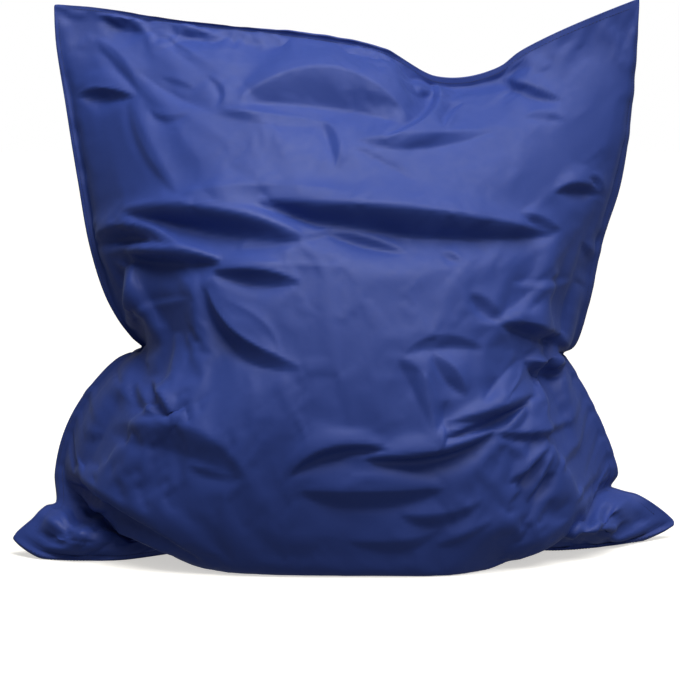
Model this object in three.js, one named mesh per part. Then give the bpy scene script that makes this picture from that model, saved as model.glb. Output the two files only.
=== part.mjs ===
// A giant bean bag, set upright as a seat: two flat rectangular panels sewn together all round
// and filled with loose beads. The beads have sunk into a wide mound, the upper half leans back
// as a backrest, and all four corners stick out as ears. Millimetres, +Z up, front towards -Y.
import * as THREE from "three";

// Driving dimensions
const CLOTH_LENGTH = 1800; // flat panel, bottom seam to top seam
const EDGE_WIDTH = 25; // the double-stitched edge round the whole bag
const EDGE_THICKNESS = 5; // four layers of turned-in cloth
const HALF_WIDTH = 700; // of the flat panel
const EDGE_SHARE = EDGE_WIDTH / HALF_WIDTH;
const FLOOR_ROUNDING = 14; // radius-like height over which the cloth leaves the floor
const SIDE_CROWDING = 0.6; // how far grid lines gather at the side seams, from 0 to 1

// Grid of each panel, the stitched edge included
const CELLS_ACROSS = 46;
const CELLS_ALONG = 60;

// The four seams. "along" is the cloth's length from the bottom seam, "across" runs from
// -1 at the left seam to 1 at the right seam.
const leftSeam = [
  { along: 0, x: -656, y: -150, z: 32 },
  { along: 60, x: -618, y: -132, z: 66 },
  { along: 120, x: -594, y: -100, z: 87 },
  { along: 210, x: -576, y: -48, z: 90 },
  { along: 330, x: -581, y: -8, z: 144 },
  { along: 500, x: -556, y: 0, z: 229 },
  { along: 640, x: -512, y: 0, z: 301 },
  { along: 780, x: -452, y: 8, z: 366 },
  { along: 860, x: -420, y: 35, z: 382 },
  { along: 920, x: -412, y: 52, z: 396 },
  { along: 980, x: -432, y: 35, z: 420 },
  { along: 1080, x: -474, y: 30, z: 491 },
  { along: 1210, x: -513, y: 45, z: 602 },
  { along: 1355, x: -538, y: 65, z: 733 },
  { along: 1540, x: -564, y: 90, z: 885 },
  { along: 1690, x: -584, y: 108, z: 1007 },
  { along: 1800, x: -588, y: 120, z: 1088 },
];
const rightSeam = [
  { along: 0, x: 686, y: 20, z: 25 },
  { along: 70, x: 641, y: 28, z: 65 },
  { along: 140, x: 600, y: 30, z: 90 },
  { along: 220, x: 550, y: 28, z: 105 },
  { along: 300, x: 561, y: 18, z: 136 },
  { along: 420, x: 539, y: 12, z: 196 },
  { along: 570, x: 504, y: 10, z: 269 },
  { along: 760, x: 463, y: 22, z: 345 },
  { along: 850, x: 452, y: 38, z: 366 },
  { along: 920, x: 447, y: 52, z: 378 },
  { along: 990, x: 470, y: 38, z: 402 },
  { along: 1110, x: 500, y: 38, z: 505 },
  { along: 1270, x: 536, y: 58, z: 622 },
  { along: 1400, x: 571, y: 78, z: 723 },
  { along: 1570, x: 594, y: 98, z: 875 },
  { along: 1740, x: 604, y: 118, z: 1040 },
  { along: 1800, x: 607, y: 122, z: 1101 },
];
const bottomSeam = [
  { across: -1, x: -656, y: -150, z: 32 },
  { across: -0.92, x: -596, y: -208, z: 6 },
  { across: -0.76, x: -480, y: -216, z: 0 },
  { across: -0.62, x: -395, y: -170, z: 0 },
  { across: -0.48, x: -310, y: -95, z: 0 },
  { across: -0.25, x: -160, y: 50, z: 0 },
  { across: 0, x: -5, y: 80, z: 0 },
  { across: 0.3, x: 190, y: 30, z: 0 },
  { across: 0.6, x: 390, y: -100, z: 0 },
  { across: 0.8, x: 530, y: -85, z: 0 },
  { across: 0.92, x: 612, y: -38, z: 4 },
  { across: 1, x: 686, y: 20, z: 25 },
];
const topSeam = [
  { across: -1, x: -588, y: 120, z: 1088 },
  { across: -0.87, x: -510, y: 122, z: 1082 },
  { across: -0.5, x: -290, y: 100, z: 1047 },
  { across: 0, x: -5, y: 92, z: 1013 },
  { across: 0.16, x: 87, y: 80, z: 991 },
  { across: 0.33, x: 189, y: 105, z: 940 },
  { across: 0.55, x: 321, y: 112, z: 960 },
  { across: 0.62, x: 362, y: 108, z: 991 },
  { across: 1, x: 607, y: 122, z: 1101 },
];

// The middle of each panel, from the floor under the bag up to the top seam.
const frontMiddle = [
  { along: 150, y: -60, z: -36 },
  { along: 300, y: -228, z: -27 },
  { along: 400, y: -326, z: -8 },
  { along: 500, y: -356, z: 56 },
  { along: 600, y: -368, z: 150 },
  { along: 700, y: -368, z: 242 },
  { along: 800, y: -354, z: 330 },
  { along: 900, y: -330, z: 415 },
  { along: 1000, y: -298, z: 496 },
  { along: 1150, y: -238, z: 615 },
  { along: 1300, y: -170, z: 730 },
  { along: 1450, y: -96, z: 836 },
  { along: 1600, y: -16, z: 925 },
  { along: 1700, y: 38, z: 972 },
];
const backMiddle = [
  { along: 150, y: 185, z: -50 },
  { along: 280, y: 275, z: -24 },
  { along: 400, y: 322, z: 56 },
  { along: 500, y: 340, z: 145 },
  { along: 620, y: 342, z: 250 },
  { along: 740, y: 318, z: 345 },
  { along: 830, y: 262, z: 402 },
  { along: 900, y: 218, z: 430 },
  { along: 970, y: 246, z: 472 },
  { along: 1060, y: 278, z: 548 },
  { along: 1200, y: 284, z: 670 },
  { along: 1350, y: 258, z: 790 },
  { along: 1500, y: 212, z: 890 },
  { along: 1620, y: 168, z: 950 },
  { along: 1700, y: 136, z: 982 },
];

// How full each panel is across: with a higher "square" it stays full further out, and with a
// higher "power" its sides thin out into flat ears. "lean" moves its fullest place sideways.
const frontFullness = [
  { along: 0, square: 2.2, power: 2.2, lean: 0 },
  { along: 130, square: 2.2, power: 1.8, lean: 0.06 },
  { along: 240, square: 2.4, power: 1.8, lean: 0.18 },
  { along: 320, square: 2.6, power: 0.95, lean: 0.2 },
  { along: 400, square: 3.0, power: 0.68, lean: 0.16 },
  { along: 500, square: 3.0, power: 0.52, lean: 0.1 },
  { along: 700, square: 2.8, power: 0.5, lean: 0.03 },
  { along: 900, square: 2.6, power: 0.55, lean: 0 },
  { along: 1300, square: 2.6, power: 0.72, lean: 0 },
  { along: 1650, square: 2.6, power: 0.9, lean: 0 },
  { along: 1800, square: 2.6, power: 1.1, lean: 0 },
];
const backFullness = [
  { along: 0, square: 2.2, power: 2.2, lean: 0 },
  { along: 130, square: 2.2, power: 1.8, lean: 0 },
  { along: 240, square: 2.4, power: 1, lean: 0 },
  { along: 350, square: 2.6, power: 0.7, lean: 0 },
  { along: 550, square: 2.6, power: 0.55, lean: 0 },
  { along: 900, square: 2.6, power: 0.6, lean: 0 },
  { along: 1300, square: 2.4, power: 0.7, lean: 0 },
  { along: 1650, square: 2.4, power: 0.9, lean: 0 },
  { along: 1800, square: 2.4, power: 1.1, lean: 0 },
];

// Where filling left in the bottom ears pushes both panels apart, and where the mound bulges
// forward over the ears.
const earLobes = [
  { across: -0.87, along: 110, wide: 0.1, tall: 75, apart: 36, forward: 0 },
  { across: 0.86, along: 115, wide: 0.11, tall: 80, apart: 38, forward: 0 },
  { across: -0.7, along: 225, wide: 0.2, tall: 85, apart: 0, forward: 60 },
  { across: 0.52, along: 290, wide: 0.25, tall: 85, apart: 0, forward: 62 },
];

// The main folds. Each row is one fold: its line from one place to another by way of a third,
// seen square on from the front (x to the right, z up), its half width, and its depth. "roll" is
// the height of the overhang on the left-hand side of the line as it runs, with as deep a hollow
// on the other side, and "dent" is the depth of a plain valley along the line.
const frontFolds = [
  // broad bands that droop across the backrest
  { from: [-430, 670], via: [-255, 662], to: [-85, 640], wide: 24, roll: 25, dent: 0 },
  { from: [-155, 700], via: [110, 655], to: [425, 632], wide: 34, roll: 34, dent: 0 },
  { from: [-465, 597], via: [-310, 583], to: [-90, 565], wide: 20, roll: 17, dent: 4 },
  { from: [-195, 915], via: [-25, 905], to: [165, 895], wide: 42, roll: 30, dent: 0 },
  // folds that fan out from the dip in the top edge
  { from: [185, 935], via: [172, 855], to: [85, 812], wide: 22, roll: 16, dent: 4 },
  { from: [320, 955], via: [380, 918], to: [440, 895], wide: 20, roll: 12, dent: 3 },
  { from: [212, 890], via: [230, 865], to: [245, 830], wide: 16, roll: 8, dent: 4 },
  // upper left
  { from: [-535, 908], via: [-480, 925], to: [-420, 903], wide: 18, roll: 14, dent: 3 },
  { from: [-420, 905], via: [-362, 775], to: [-295, 705], wide: 24, roll: 11, dent: -4 },
  { from: [-410, 950], via: [-350, 908], to: [-255, 875], wide: 20, roll: -8, dent: 6 },
  // upper right
  { from: [20, 800], via: [190, 798], to: [360, 835], wide: 34, roll: 6, dent: 10 },
  { from: [20, 803], via: [80, 765], to: [140, 735], wide: 20, roll: 4, dent: 8 },
  { from: [420, 710], via: [470, 722], to: [515, 738], wide: 18, roll: 9, dent: 3 },
  { from: [345, 672], via: [385, 652], to: [430, 640], wide: 18, roll: 8, dent: 0 },
  // left flank above the waist
  { from: [-455, 600], via: [-440, 525], to: [-432, 430], wide: 26, roll: 24, dent: 4 },
  { from: [-270, 545], via: [-225, 445], to: [-80, 400], wide: 26, roll: -12, dent: 10 },
  { from: [-415, 480], via: [-375, 508], to: [-325, 535], wide: 16, roll: 6, dent: -3 },
  // right flank above the waist
  { from: [240, 530], via: [262, 500], to: [300, 468], wide: 20, roll: -6, dent: 7 },
  { from: [295, 470], via: [375, 457], to: [455, 395], wide: 20, roll: 15, dent: 3 },
  { from: [460, 372], via: [370, 390], to: [300, 330], wide: 24, roll: -24, dent: 4 },
  // folds that run down and inwards from the right of the waist
  { from: [372, 335], via: [280, 305], to: [180, 262], wide: 20, roll: -19, dent: 0 },
  { from: [470, 262], via: [405, 255], to: [280, 275], wide: 16, roll: -10, dent: 0 },
  { from: [185, 250], via: [165, 325], to: [152, 388], wide: 18, roll: 15, dent: 3 },
  { from: [110, 425], via: [185, 452], to: [270, 425], wide: 24, roll: 4, dent: 9 },
  // across the belly
  { from: [-10, 222], via: [155, 238], to: [300, 268], wide: 22, roll: 20, dent: 3 },
  { from: [-100, 195], via: [-35, 245], to: [85, 252], wide: 20, roll: 12, dent: 3 },
  { from: [-5, 168], via: [85, 182], to: [185, 168], wide: 20, roll: 9, dent: 2 },
  { from: [335, 165], via: [360, 190], to: [390, 212], wide: 16, roll: 7, dent: 3 },
  { from: [350, 130], via: [385, 175], to: [420, 225], wide: 16, roll: 9, dent: 3 },
  // left of the waist
  { from: [-418, 362], via: [-392, 305], to: [-318, 287], wide: 22, roll: -17, dent: 6 },
  // where the mound bulges over the left ear, and the ear's own ridge
  { from: [-578, 165], via: [-430, 120], to: [-215, 20], wide: 30, roll: 12, dent: 0 },
  { from: [-560, 70], via: [-520, 40], to: [-500, 12], wide: 22, roll: 0, dent: 5 },
  // creases that gather into the right ear
  { from: [455, 70], via: [500, 105], to: [530, 150], wide: 18, roll: 7, dent: 3 },
  { from: [575, 88], via: [610, 62], to: [650, 32], wide: 20, roll: 0, dent: 4 },
];
const backFolds = [
  // drooping bands over the crease at the waist
  { from: [-380, 560], via: [-60, 520], to: [250, 545], wide: 34, roll: 22, dent: 4 },
  { from: [60, 620], via: [260, 600], to: [440, 560], wide: 28, roll: 18, dent: 3 },
  { from: [-440, 690], via: [-250, 662], to: [-70, 690], wide: 28, roll: 14, dent: 4 },
  { from: [-60, 760], via: [150, 730], to: [380, 765], wide: 30, roll: 15, dent: 3 },
  // folds that fan out from the dip in the top edge
  { from: [180, 930], via: [90, 880], to: [-40, 850], wide: 26, roll: -15, dent: 5 },
  { from: [250, 935], via: [300, 860], to: [390, 810], wide: 26, roll: 14, dent: 5 },
  { from: [-500, 950], via: [-400, 880], to: [-280, 845], wide: 24, roll: 10, dent: 5 },
  // folds that run away from the pinched waist
  { from: [-405, 420], via: [-330, 475], to: [-200, 500], wide: 26, roll: 16, dent: 5 },
  { from: [440, 410], via: [380, 470], to: [270, 500], wide: 26, roll: -16, dent: 5 },
  { from: [-400, 375], via: [-320, 320], to: [-180, 290], wide: 26, roll: -14, dent: 5 },
  { from: [440, 360], via: [370, 300], to: [220, 275], wide: 26, roll: 14, dent: 5 },
  { from: [-160, 380], via: [20, 330], to: [190, 370], wide: 30, roll: 12, dent: 5 },
  // across the back of the mound
  { from: [-420, 210], via: [-220, 185], to: [-20, 215], wide: 26, roll: 14, dent: 3 },
  { from: [60, 190], via: [240, 160], to: [430, 195], wide: 26, roll: 13, dent: 3 },
  { from: [-560, 120], via: [-450, 90], to: [-340, 25], wide: 28, roll: 20, dent: 6 },
  { from: [550, 110], via: [460, 80], to: [350, 20], wide: 28, roll: -20, dent: 6 },
];

// A smooth curve through a table: takes a place and gives back the named columns there.
function curveThrough(rows, placeColumn, columns) {
  const places = rows.map((row) => row[placeColumn]);
  const values = rows.flatMap((row) => columns.map((column) => row[column]));
  const curve = new THREE.CubicInterpolant(places, values, columns.length, new Float64Array(columns.length));
  return (place) => Array.from(curve.evaluate(place));
}

const seamColumns = ["x", "y", "z"];
const left = curveThrough(leftSeam, "along", seamColumns);
const right = curveThrough(rightSeam, "along", seamColumns);
const bottom = curveThrough(bottomSeam, "across", seamColumns);
const top = curveThrough(topSeam, "across", seamColumns);

const mix = (a, b, share) => a.map((value, i) => value + (b[i] - value) * share);
const addScaled = (a, b, scale) => a.map((value, i) => value + b[i] * scale);
const minus = (a, b) => a.map((value, i) => value - b[i]);

// The straight line from the left seam to the right seam at one height of the cloth.
function chord(across, along) {
  return mix(left(along), right(along), (across + 1) / 2);
}

// The surface midway between the panels, which passes through all four seams.
const BOTTOM_REACH = 330; // how far the bottom seam's own curve is felt up the cloth
const TOP_REACH = 420;
function middleSurface(across, along) {
  const fromBottom = Math.exp(-((along / BOTTOM_REACH) ** 2) * 2);
  const fromTop = Math.exp(-(((CLOTH_LENGTH - along) / TOP_REACH) ** 2) * 2);
  let point = chord(across, along);
  point = addScaled(point, minus(bottom(across), chord(across, 0)), fromBottom);
  return addScaled(point, minus(top(across), chord(across, CLOTH_LENGTH)), fromTop);
}

// A fold's line as a short chain of points on the curve through its three places.
const FOLD_STEPS = 12;
function foldLine(fold) {
  const from = new THREE.Vector2(...fold.from);
  const via = new THREE.Vector2(...fold.via);
  const to = new THREE.Vector2(...fold.to);
  const control = via.clone().multiplyScalar(2).sub(from.clone().add(to).multiplyScalar(0.5));
  return { ...fold, points: new THREE.QuadraticBezierCurve(from, control, to).getPoints(FOLD_STEPS) };
}

// How far from the fold's line a place lies, positive on its left-hand side, in half widths, and
// how strong the fold is at the nearest point of the line: nothing at the ends, 1 in the middle.
function foldPlace(fold, x, z) {
  let nearest = Infinity;
  let side = 1;
  let share = 0;
  for (let i = 0; i < FOLD_STEPS; i++) {
    const start = fold.points[i];
    const end = fold.points[i + 1];
    const runX = end.x - start.x;
    const runZ = end.y - start.y;
    const dot = (x - start.x) * runX + (z - start.y) * runZ;
    const part = Math.min(1, Math.max(0, dot / (runX * runX + runZ * runZ)));
    const offX = x - start.x - part * runX;
    const offZ = z - start.y - part * runZ;
    const distance = Math.hypot(offX, offZ);
    if (distance >= nearest) continue;
    nearest = distance;
    side = runX * offZ - runZ * offX < 0 ? -1 : 1;
    share = (i + part) / FOLD_STEPS;
  }
  return { away: (side * nearest) / fold.wide, strength: Math.sin(Math.PI * share) ** 0.6 };
}

// How far the folds lift the cloth at a place, outwards.
const FOLD_REACH = 4; // in half widths, past which a fold isn't felt
function foldLift(panel, x, z) {
  let lift = 0;
  for (const fold of panel.folds) {
    const { away, strength } = foldPlace(fold, x, z);
    if (Math.abs(away) > FOLD_REACH) continue;
    const rolled = away * Math.exp((1 - away * away) / 2);
    const dented = Math.exp(-away * away);
    lift += strength * (fold.roll * rolled - fold.dent * dented);
  }
  return lift;
}

// A panel's middle line, carried to both seams so that it ends on them.
function middleLine(rows) {
  const seamRow = (along) => {
    const [, y, z] = middleSurface(0, along);
    return { along, y, z };
  };
  const firstRows = [seamRow(0), seamRow(EDGE_WIDTH)];
  const lastRows = [seamRow(CLOTH_LENGTH - EDGE_WIDTH), seamRow(CLOTH_LENGTH)];
  return curveThrough([...firstRows, ...rows, ...lastRows], "along", ["y", "z"]);
}
const fullnessColumns = ["square", "power", "lean"];
const panels = {
  front: {
    outward: -1,
    middle: middleLine(frontMiddle),
    fullness: curveThrough(frontFullness, "along", fullnessColumns),
    folds: frontFolds.map(foldLine),
  },
  back: {
    outward: 1,
    middle: middleLine(backMiddle),
    fullness: curveThrough(backFullness, "along", fullnessColumns),
    folds: backFolds.map(foldLine),
  },
};

// 1 at the fullest place of the panel's width, 0 at the side seams.
function crown(panel, across, along) {
  const [square, power, lean] = panel.fullness(along);
  const inner = 1 - EDGE_SHARE;
  const reach = across > lean ? inner - lean : inner + lean;
  const share = Math.min(1, Math.abs(across - lean) / reach);
  return (1 - share ** square) ** power;
}

function earPush(panel, across, along) {
  return earLobes.reduce((sum, lobe) => {
    const a = (across - lobe.across) / lobe.wide;
    const b = (along - lobe.along) / lobe.tall;
    return sum + (lobe.apart * panel.outward - lobe.forward) * Math.exp(-(a * a + b * b));
  }, 0);
}

// Cloth that would hang below the floor lies flat on it.
function onFloor(z) {
  if (z <= -FLOOR_ROUNDING) return 0;
  if (z >= FLOOR_ROUNDING) return z;
  return (z + FLOOR_ROUNDING) ** 2 / (4 * FLOOR_ROUNDING);
}

// The panel's surface before its folds.
function smoothPoint(panel, across, along) {
  const [x, y, z] = middleSurface(across, along);
  const [middleY, middleZ] = panel.middle(along);
  const [, centreY, centreZ] = middleSurface(0, along);
  const share = crown(panel, across, along);
  const push = earPush(panel, across, along) + (panel.outward * EDGE_THICKNESS) / 2;
  return new THREE.Vector3(x, y + (middleY - centreY) * share + push, z + (middleZ - centreZ) * share);
}

const STEP_ACROSS = 0.01;
const STEP_ALONG = 7;
function outwardNormal(panel, across, along) {
  const rightwards = smoothPoint(panel, across + STEP_ACROSS, along)
    .sub(smoothPoint(panel, across - STEP_ACROSS, along));
  const upwards = smoothPoint(panel, across, along + STEP_ALONG)
    .sub(smoothPoint(panel, across, along - STEP_ALONG));
  return rightwards.cross(upwards).multiplyScalar(-panel.outward).normalize();
}

// Folds fade out at the stitched edge, where the cloth is held flat, and in the tight valleys
// between the mound and the two bottom ears.
const EDGE_FADE = 45;
const VALLEY_TOP = 330;
const VALLEY_FADE = 110;
const VALLEY_STARTS_AT = 0.45;
const VALLEY_FULL_AT = 0.62;
function foldStrength(across, along) {
  const fromSide = (1 - EDGE_SHARE - Math.abs(across)) * HALF_WIDTH;
  const fromEnd = Math.min(along, CLOTH_LENGTH - along) - EDGE_WIDTH;
  const fromEdge = Math.max(0, Math.min(fromSide, fromEnd));
  const aboveValley = THREE.MathUtils.smoothstep(along, VALLEY_TOP - VALLEY_FADE, VALLEY_TOP);
  const besideValley = 1 - THREE.MathUtils.smoothstep(Math.abs(across), VALLEY_STARTS_AT, VALLEY_FULL_AT);
  return THREE.MathUtils.smoothstep(fromEdge, 0, EDGE_FADE) * Math.max(aboveValley, besideValley);
}

// The bag's four corners are turned in before they are stitched, so their tips are blunt.
const TIP_TURNED_IN = 0.3; // share of the edge's width
function bluntTip(across, along) {
  const atTip = Math.abs(across) === 1 && (along === 0 || along === CLOTH_LENGTH);
  if (!atTip) return [across, along];
  const inwards = along === 0 ? 1 : -1;
  return [across * (1 - EDGE_SHARE * TIP_TURNED_IN), along + inwards * EDGE_WIDTH * TIP_TURNED_IN];
}

function clothPoint(panel, acrossLine, alongLine) {
  const [across, along] = bluntTip(acrossLine, alongLine);
  const point = smoothPoint(panel, across, along);
  const strength = foldStrength(across, along);
  if (strength > 0) {
    const lift = foldLift(panel, point.x, point.z) * strength;
    point.addScaledVector(outwardNormal(panel, across, along), lift);
  }
  return [point.x, point.y, onFloor(point.z)];
}

// Grid lines: one line at the inner row of stitches, the rest spread over the panel.
function linesAcross() {
  const inner = 1 - EDGE_SHARE;
  const lines = [-1];
  for (let i = 0; i <= CELLS_ACROSS - 2; i++) {
    const even = (2 * i) / (CELLS_ACROSS - 2) - 1;
    const crowded = Math.sin((even * Math.PI) / 2);
    lines.push(inner * (even + (crowded - even) * SIDE_CROWDING));
  }
  return [...lines, 1];
}
function linesAlong() {
  const lines = [0];
  for (let i = 0; i <= CELLS_ALONG - 2; i++) {
    lines.push(EDGE_WIDTH + ((CLOTH_LENGTH - 2 * EDGE_WIDTH) * i) / (CELLS_ALONG - 2));
  }
  return [...lines, CLOTH_LENGTH];
}

function bagGeometry() {
  const acrossLines = linesAcross();
  const alongLines = linesAlong();
  const rowLength = acrossLines.length;
  const panelSize = rowLength * alongLines.length;
  const positions = [];
  for (const panel of [panels.front, panels.back]) {
    for (const along of alongLines) {
      for (const across of acrossLines) positions.push(...clothPoint(panel, across, along));
    }
  }
  const faces = [];
  const quad = (a, b, c, d) => faces.push(a, b, c, a, c, d);
  const vertex = (panel, i, j) => panel * panelSize + j * rowLength + i;
  for (let j = 0; j < CELLS_ALONG; j++) {
    for (let i = 0; i < CELLS_ACROSS; i++) {
      quad(vertex(0, i, j), vertex(0, i + 1, j), vertex(0, i + 1, j + 1), vertex(0, i, j + 1));
      quad(vertex(1, i, j), vertex(1, i, j + 1), vertex(1, i + 1, j + 1), vertex(1, i + 1, j));
    }
    quad(vertex(0, 0, j), vertex(0, 0, j + 1), vertex(1, 0, j + 1), vertex(1, 0, j));
    quad(vertex(0, CELLS_ACROSS, j), vertex(1, CELLS_ACROSS, j),
      vertex(1, CELLS_ACROSS, j + 1), vertex(0, CELLS_ACROSS, j + 1));
  }
  for (let i = 0; i < CELLS_ACROSS; i++) {
    quad(vertex(0, i, 0), vertex(1, i, 0), vertex(1, i + 1, 0), vertex(0, i + 1, 0));
    quad(vertex(0, i, CELLS_ALONG), vertex(0, i + 1, CELLS_ALONG),
      vertex(1, i + 1, CELLS_ALONG), vertex(1, i, CELLS_ALONG));
  }
  const geometry = new THREE.BufferGeometry();
  geometry.setAttribute("position", new THREE.Float32BufferAttribute(positions, 3));
  geometry.setIndex(faces);
  // The origin is the middle of the base.
  geometry.computeBoundingBox();
  const { min, max } = geometry.boundingBox;
  geometry.translate(-(min.x + max.x) / 2, -(min.y + max.y) / 2, -min.z);
  return geometry;
}

const cloth = new THREE.MeshStandardMaterial({ color: 0x2f4496, roughness: 0.5, metalness: 0 });
const bag = new THREE.Mesh(bagGeometry(), cloth);
bag.name = "bag";

const part = new THREE.Group();
part.add(bag);
export default part;
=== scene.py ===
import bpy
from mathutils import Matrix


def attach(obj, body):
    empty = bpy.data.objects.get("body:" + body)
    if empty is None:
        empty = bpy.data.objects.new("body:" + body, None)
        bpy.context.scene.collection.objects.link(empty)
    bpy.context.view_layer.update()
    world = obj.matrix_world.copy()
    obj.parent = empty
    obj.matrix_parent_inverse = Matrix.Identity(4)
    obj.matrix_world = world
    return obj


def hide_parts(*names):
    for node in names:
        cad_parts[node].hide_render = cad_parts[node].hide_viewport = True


bl_info = {
    "name": "Giant bean bag",
    "version": (1, 0, 0),
    "blender": (4, 5, 0),
    "location": "View3D > Sidebar > Bean bag",
    "description": "Dresses the giant bean bag: creased cloth, stitched edge and a plain studio",
    "category": "Object",
}

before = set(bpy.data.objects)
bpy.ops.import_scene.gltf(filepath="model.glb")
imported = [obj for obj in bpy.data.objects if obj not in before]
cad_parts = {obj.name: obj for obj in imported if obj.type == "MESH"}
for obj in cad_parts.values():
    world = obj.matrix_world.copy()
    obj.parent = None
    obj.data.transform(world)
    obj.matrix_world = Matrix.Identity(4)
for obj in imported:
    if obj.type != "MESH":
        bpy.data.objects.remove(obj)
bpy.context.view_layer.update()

import math

import bmesh
import bpy
import numpy as np
from bpy.props import FloatProperty, FloatVectorProperty, IntProperty, PointerProperty
from mathutils import Vector

MM = 0.001  # the tables hold millimetres
PLAIN = 1.0  # apart from the fullness tables, which hold plain numbers
WELD = 1e-6  # corners closer than this become one
THREAD_WELD = 1e-7
TINY = 1e-12  # added to lengths that may be nothing, before a division by them

# Driving sizes of the flat bag, in metres
HALF_WIDTH = 0.7
CLOTH_LENGTH = 1.8
EDGE_WIDTH = 0.025
EDGE_THICKNESS = 0.005
EDGE_SHARE = EDGE_WIDTH / HALF_WIDTH
INNER = 1 - EDGE_SHARE  # where the stitched edge starts at the sides, and then at the top
INNER_TOP = CLOTH_LENGTH - EDGE_WIDTH
FLOOR_ROUNDING = 0.014

# The middle of the base, as the tables see it
BASE_MIDDLE = (0.0140, -0.0149)

# Seams: place along the cloth from the bottom seam, then x, y and z
LEFT_SEAM = (
    (0, -656, -150, 32),
    (60, -618, -132, 66),
    (120, -594, -100, 87),
    (210, -576, -48, 90),
    (330, -581, -8, 144),
    (500, -556, 0, 229),
    (640, -512, 0, 301),
    (780, -452, 8, 366),
    (860, -420, 35, 382),
    (920, -412, 52, 396),
    (980, -432, 35, 420),
    (1080, -474, 30, 491),
    (1210, -513, 45, 602),
    (1355, -538, 65, 733),
    (1540, -564, 90, 885),
    (1690, -584, 108, 1007),
    (1800, -588, 120, 1088),
)
RIGHT_SEAM = (
    (0, 686, 20, 25),
    (70, 641, 28, 65),
    (140, 600, 30, 90),
    (220, 550, 28, 105),
    (300, 561, 18, 136),
    (420, 539, 12, 196),
    (570, 504, 10, 269),
    (760, 463, 22, 345),
    (850, 452, 38, 366),
    (920, 447, 52, 378),
    (990, 470, 38, 402),
    (1110, 500, 38, 505),
    (1270, 536, 58, 622),
    (1400, 571, 78, 723),
    (1570, 594, 98, 875),
    (1740, 604, 118, 1040),
    (1800, 607, 122, 1101),
)
# Place across in thousandths of the half width, then x, y and z
BOTTOM_SEAM = (
    (-1000, -656, -150, 32),
    (-920, -596, -208, 6),
    (-760, -480, -216, 0),
    (-620, -395, -170, 0),
    (-480, -310, -95, 0),
    (-250, -160, 50, 0),
    (0, -5, 80, 0),
    (300, 190, 30, 0),
    (600, 390, -100, 0),
    (800, 530, -85, 0),
    (920, 612, -38, 4),
    (1000, 686, 20, 25),
)
TOP_SEAM = (
    (-1000, -588, 120, 1088),
    (-870, -510, 122, 1082),
    (-500, -290, 100, 1047),
    (0, -5, 92, 1013),
    (160, 87, 80, 991),
    (330, 189, 105, 940),
    (550, 321, 112, 960),
    (620, 362, 108, 991),
    (1000, 607, 122, 1101),
)
# The middle of each panel: place along, y and z
FRONT_MIDDLE = (
    (150, -60, -36),
    (300, -228, -27),
    (400, -326, -8),
    (500, -356, 56),
    (600, -368, 150),
    (700, -368, 242),
    (800, -354, 330),
    (900, -330, 415),
    (1000, -298, 496),
    (1150, -238, 615),
    (1300, -170, 730),
    (1450, -96, 836),
    (1600, -16, 925),
    (1700, 38, 972),
)
BACK_MIDDLE = (
    (150, 185, -50),
    (280, 275, -24),
    (400, 322, 56),
    (500, 340, 145),
    (620, 342, 250),
    (740, 318, 345),
    (830, 262, 402),
    (900, 218, 430),
    (970, 246, 472),
    (1060, 278, 548),
    (1200, 284, 670),
    (1350, 258, 790),
    (1500, 212, 890),
    (1620, 168, 950),
    (1700, 136, 982),
)
# Fullness of each panel: place along, then square, power and lean, as in the solids
FRONT_FULLNESS = (
    (0, 2.2, 2.2, 0),
    (130, 2.2, 1.8, 0.06),
    (240, 2.4, 1.8, 0.18),
    (320, 2.6, 0.95, 0.2),
    (400, 3.0, 0.68, 0.16),
    (500, 3.0, 0.52, 0.1),
    (700, 2.8, 0.5, 0.03),
    (900, 2.6, 0.55, 0),
    (1300, 2.6, 0.72, 0),
    (1650, 2.6, 0.9, 0),
    (1800, 2.6, 1.1, 0),
)
BACK_FULLNESS = (
    (0, 2.2, 2.2, 0),
    (130, 2.2, 1.8, 0),
    (240, 2.4, 1, 0),
    (350, 2.6, 0.7, 0),
    (550, 2.6, 0.55, 0),
    (900, 2.6, 0.6, 0),
    (1300, 2.4, 0.7, 0),
    (1650, 2.4, 0.9, 0),
    (1800, 2.4, 1.1, 0),
)
# Pushes at the bottom ears: across, along, wide, tall, apart, forward
EAR_LOBES = (
    (-0.87, 0.110, 0.1, 0.075, 0.036, 0.0),
    (0.86, 0.115, 0.11, 0.080, 0.038, 0.0),
    (-0.7, 0.225, 0.2, 0.085, 0.0, 0.060),
    (0.52, 0.290, 0.25, 0.085, 0.0, 0.062),
)
# Pushes that the solids don't have: across, along, wide, tall, forward and up. The ears' lower
# edges are tucked back, and the front panel runs out more smoothly into the right ear.
EAR_PUSHES = (
    (-0.88, 0.0, 0.16, 0.060, -0.035, 0.0),
    (0.86, 0.0, 0.20, 0.060, -0.045, 0.0),
)
FRONT_PUSHES = (
    (0.80, 0.170, 0.15, 0.100, 0.115, 0.004),
    (0.56, 0.370, 0.13, 0.100, -0.040, 0.012),
)
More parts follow.
